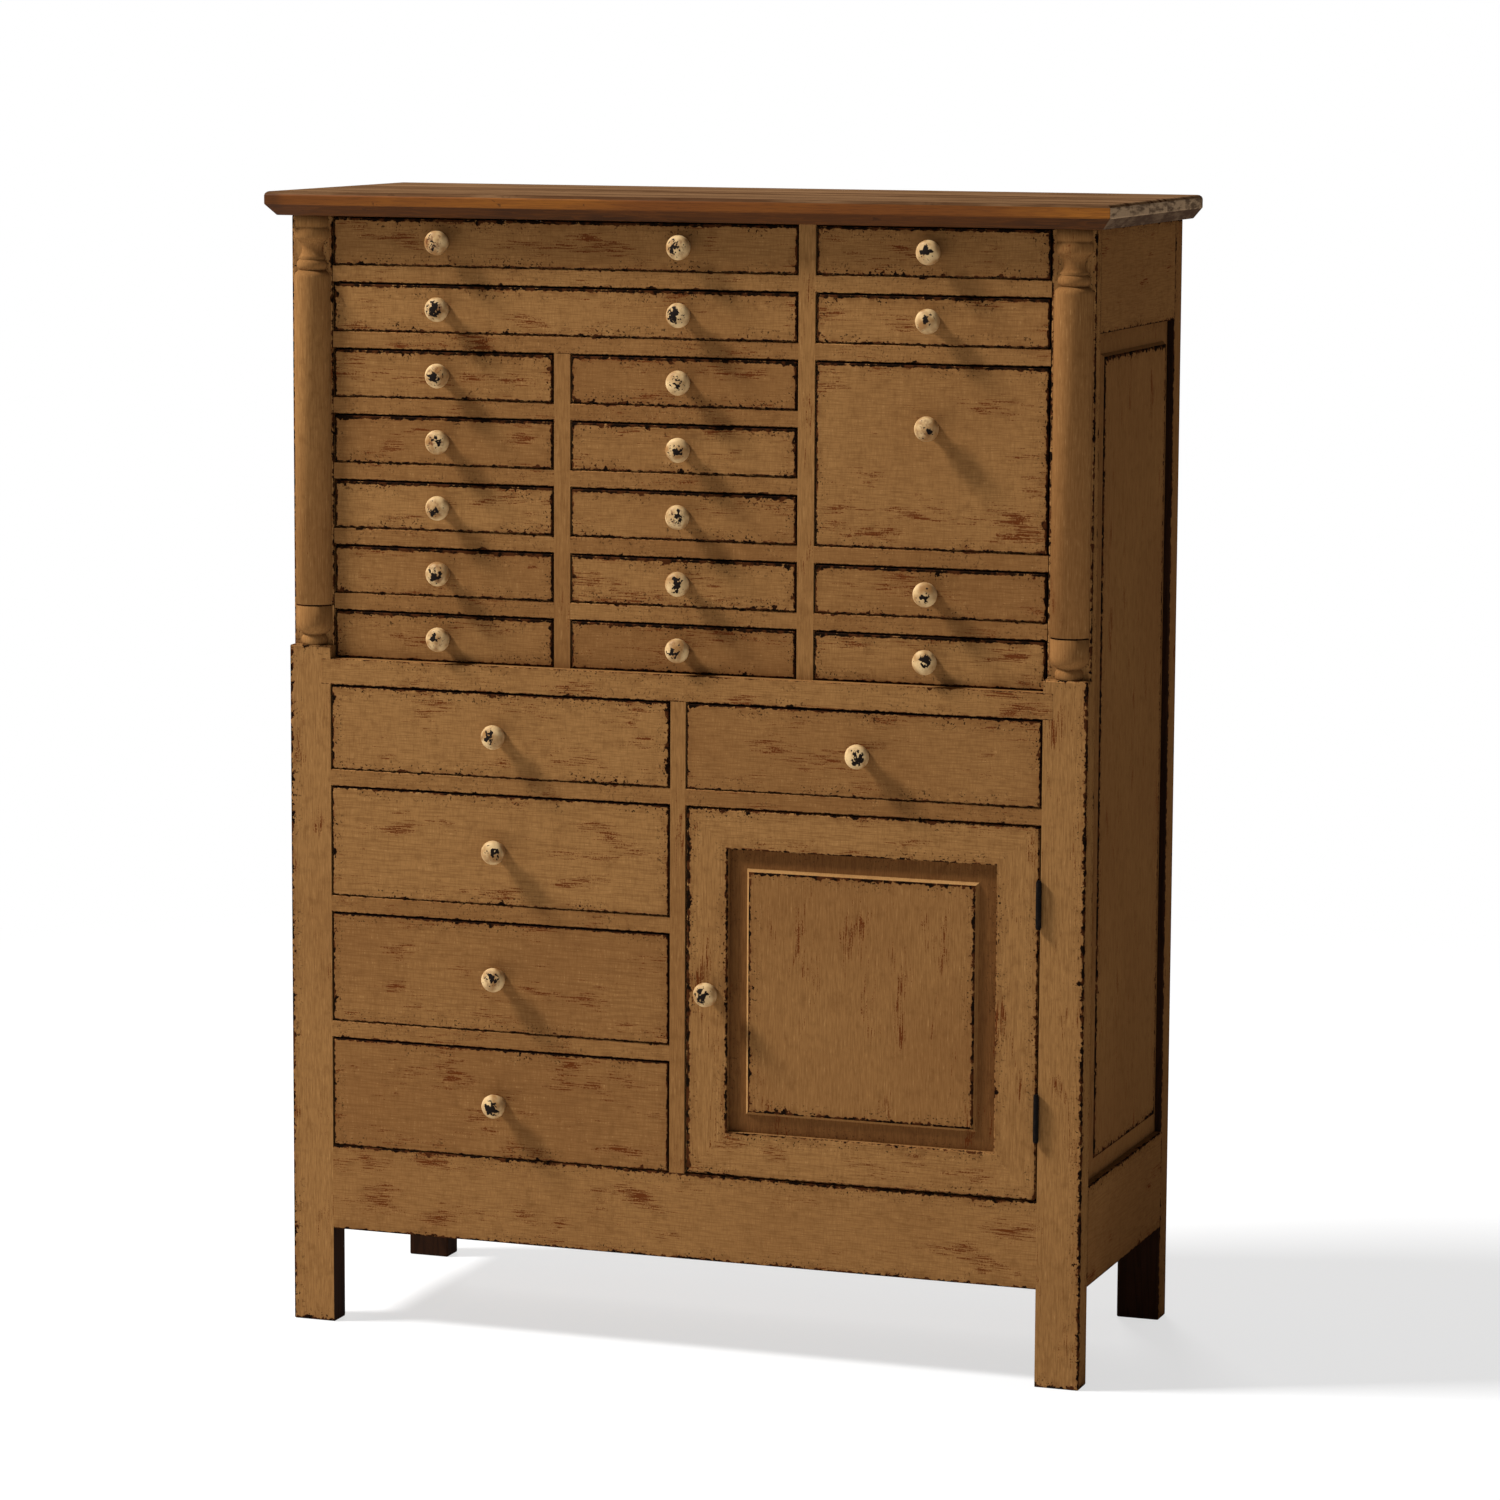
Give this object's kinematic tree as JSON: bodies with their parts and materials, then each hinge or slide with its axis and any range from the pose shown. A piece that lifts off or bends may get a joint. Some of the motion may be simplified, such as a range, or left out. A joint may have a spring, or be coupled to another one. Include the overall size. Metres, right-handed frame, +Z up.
{
  "type": "multi-drawer chest",
  "caption": "Tall painted wooden chest with rows of small drawers above deep drawers and a panelled cupboard door, turned corner columns and a stained plank top.",
  "frame": {"origin": "on the floor under the middle of the chest's bounding box", "axes": "+X to the right seen from the front, +Y to the back, +Z up"},
  "size_m": [1.1, 0.449, 1.45],
  "materials": {
    "painted_wood": "worn cream chalk paint",
    "stained_top": "brown stain, satin",
    "bare_wood": "bare softwood",
    "black_iron": "black, dull",
    "catch_case": "brown, matte"
  },
  "bodies": {
    "case": {"top_board": "stained_top", "corner_posts": "painted_wood", "side_rails": "painted_wood", "side_panels": "painted_wood", "front_rails": "painted_wood", "inner_walls": "painted_wood", "case_boards": "bare_wood", "drawer_runners": "bare_wood", "back_boards": "bare_wood", "corner_columns": "painted_wood", "post_hinge_leaves": "black_iron", "door_catch": "catch_case"},
    "door": {"door_frame": "painted_wood", "door_panel": "painted_wood", "door_knob": "painted_wood", "door_ironwork": "black_iron"},
    "drawer_row1_wide": {"drawer_row1_wide": "painted_wood", "knob_row1_wide": "painted_wood"},
    "drawer_row2_wide": {"drawer_row2_wide": "painted_wood", "knob_row2_wide": "painted_wood"},
    "drawer_row3_left": {"drawer_row3_left": "painted_wood", "knob_row3_left": "painted_wood"},
    "drawer_row3_middle": {"drawer_row3_middle": "painted_wood", "knob_row3_middle": "painted_wood"},
    "drawer_row4_left": {"drawer_row4_left": "painted_wood", "knob_row4_left": "painted_wood"},
    "drawer_row4_middle": {"drawer_row4_middle": "painted_wood", "knob_row4_middle": "painted_wood"},
    "drawer_row5_left": {"drawer_row5_left": "painted_wood", "knob_row5_left": "painted_wood"},
    "drawer_row5_middle": {"drawer_row5_middle": "painted_wood", "knob_row5_middle": "painted_wood"},
    "drawer_row6_left": {"drawer_row6_left": "painted_wood", "knob_row6_left": "painted_wood"},
    "drawer_row6_middle": {"drawer_row6_middle": "painted_wood", "knob_row6_middle": "painted_wood"},
    "drawer_row7_left": {"drawer_row7_left": "painted_wood", "knob_row7_left": "painted_wood"},
    "drawer_row7_middle": {"drawer_row7_middle": "painted_wood", "knob_row7_middle": "painted_wood"},
    "drawer_row1_right": {"drawer_row1_right": "painted_wood", "knob_row1_right": "painted_wood"},
    "drawer_row2_right": {"drawer_row2_right": "painted_wood", "knob_row2_right": "painted_wood"},
    "drawer_row6_right": {"drawer_row6_right": "painted_wood", "knob_row6_right": "painted_wood"},
    "drawer_row7_right": {"drawer_row7_right": "painted_wood", "knob_row7_right": "painted_wood"},
    "drawer_tall_right": {"drawer_tall_right": "painted_wood", "knob_tall_right": "painted_wood"},
    "drawer_base_left_4": {"drawer_base_left_4": "painted_wood", "knob_base_left_4": "painted_wood"},
    "drawer_base_left_3": {"drawer_base_left_3": "painted_wood", "knob_base_left_3": "painted_wood"},
    "drawer_base_left_2": {"drawer_base_left_2": "painted_wood", "knob_base_left_2": "painted_wood"},
    "drawer_base_left_1": {"drawer_base_left_1": "painted_wood", "knob_base_left_1": "painted_wood"},
    "drawer_base_right_1": {"drawer_base_right_1": "painted_wood", "knob_base_right_1": "painted_wood"}
  },
  "joints": [
    {"name": "door_swing", "type": "hinge", "parent": "case", "child": "door", "pos_m": [0.46885, -0.1994, 0.46565], "axis": [0, 0, 1], "range_deg": [0, 170]},
    {"name": "slide_row1_wide", "type": "slide", "parent": "case", "child": "drawer_row1_wide", "axis": [0, -1, 0], "range_m": [0, 0.28]},
    {"name": "slide_row2_wide", "type": "slide", "parent": "case", "child": "drawer_row2_wide", "axis": [0, -1, 0], "range_m": [0, 0.28]},
    {"name": "slide_row3_left", "type": "slide", "parent": "case", "child": "drawer_row3_left", "axis": [0, -1, 0], "range_m": [0, 0.28]},
    {"name": "slide_row3_middle", "type": "slide", "parent": "case", "child": "drawer_row3_middle", "axis": [0, -1, 0], "range_m": [0, 0.28]},
    {"name": "slide_row4_left", "type": "slide", "parent": "case", "child": "drawer_row4_left", "axis": [0, -1, 0], "range_m": [0, 0.28]},
    {"name": "slide_row4_middle", "type": "slide", "parent": "case", "child": "drawer_row4_middle", "axis": [0, -1, 0], "range_m": [0, 0.28]},
    {"name": "slide_row5_left", "type": "slide", "parent": "case", "child": "drawer_row5_left", "axis": [0, -1, 0], "range_m": [0, 0.28]},
    {"name": "slide_row5_middle", "type": "slide", "parent": "case", "child": "drawer_row5_middle", "axis": [0, -1, 0], "range_m": [0, 0.28]},
    {"name": "slide_row6_left", "type": "slide", "parent": "case", "child": "drawer_row6_left", "axis": [0, -1, 0], "range_m": [0, 0.28]},
    {"name": "slide_row6_middle", "type": "slide", "parent": "case", "child": "drawer_row6_middle", "axis": [0, -1, 0], "range_m": [0, 0.28]},
    {"name": "slide_row7_left", "type": "slide", "parent": "case", "child": "drawer_row7_left", "axis": [0, -1, 0], "range_m": [0, 0.28]},
    {"name": "slide_row7_middle", "type": "slide", "parent": "case", "child": "drawer_row7_middle", "axis": [0, -1, 0], "range_m": [0, 0.28]},
    {"name": "slide_row1_right", "type": "slide", "parent": "case", "child": "drawer_row1_right", "axis": [0, -1, 0], "range_m": [0, 0.28]},
    {"name": "slide_row2_right", "type": "slide", "parent": "case", "child": "drawer_row2_right", "axis": [0, -1, 0], "range_m": [0, 0.28]},
    {"name": "slide_row6_right", "type": "slide", "parent": "case", "child": "drawer_row6_right", "axis": [0, -1, 0], "range_m": [0, 0.28]},
    {"name": "slide_row7_right", "type": "slide", "parent": "case", "child": "drawer_row7_right", "axis": [0, -1, 0], "range_m": [0, 0.28]},
    {"name": "slide_tall_right", "type": "slide", "parent": "case", "child": "drawer_tall_right", "axis": [0, -1, 0], "range_m": [0, 0.28]},
    {"name": "slide_base_left_4", "type": "slide", "parent": "case", "child": "drawer_base_left_4", "axis": [0, -1, 0], "range_m": [0, 0.28]},
    {"name": "slide_base_left_3", "type": "slide", "parent": "case", "child": "drawer_base_left_3", "axis": [0, -1, 0], "range_m": [0, 0.28]},
    {"name": "slide_base_left_2", "type": "slide", "parent": "case", "child": "drawer_base_left_2", "axis": [0, -1, 0], "range_m": [0, 0.28]},
    {"name": "slide_base_left_1", "type": "slide", "parent": "case", "child": "drawer_base_left_1", "axis": [0, -1, 0], "range_m": [0, 0.28]},
    {"name": "slide_base_right_1", "type": "slide", "parent": "case", "child": "drawer_base_right_1", "axis": [0, -1, 0], "range_m": [0, 0.28]}
  ]
}
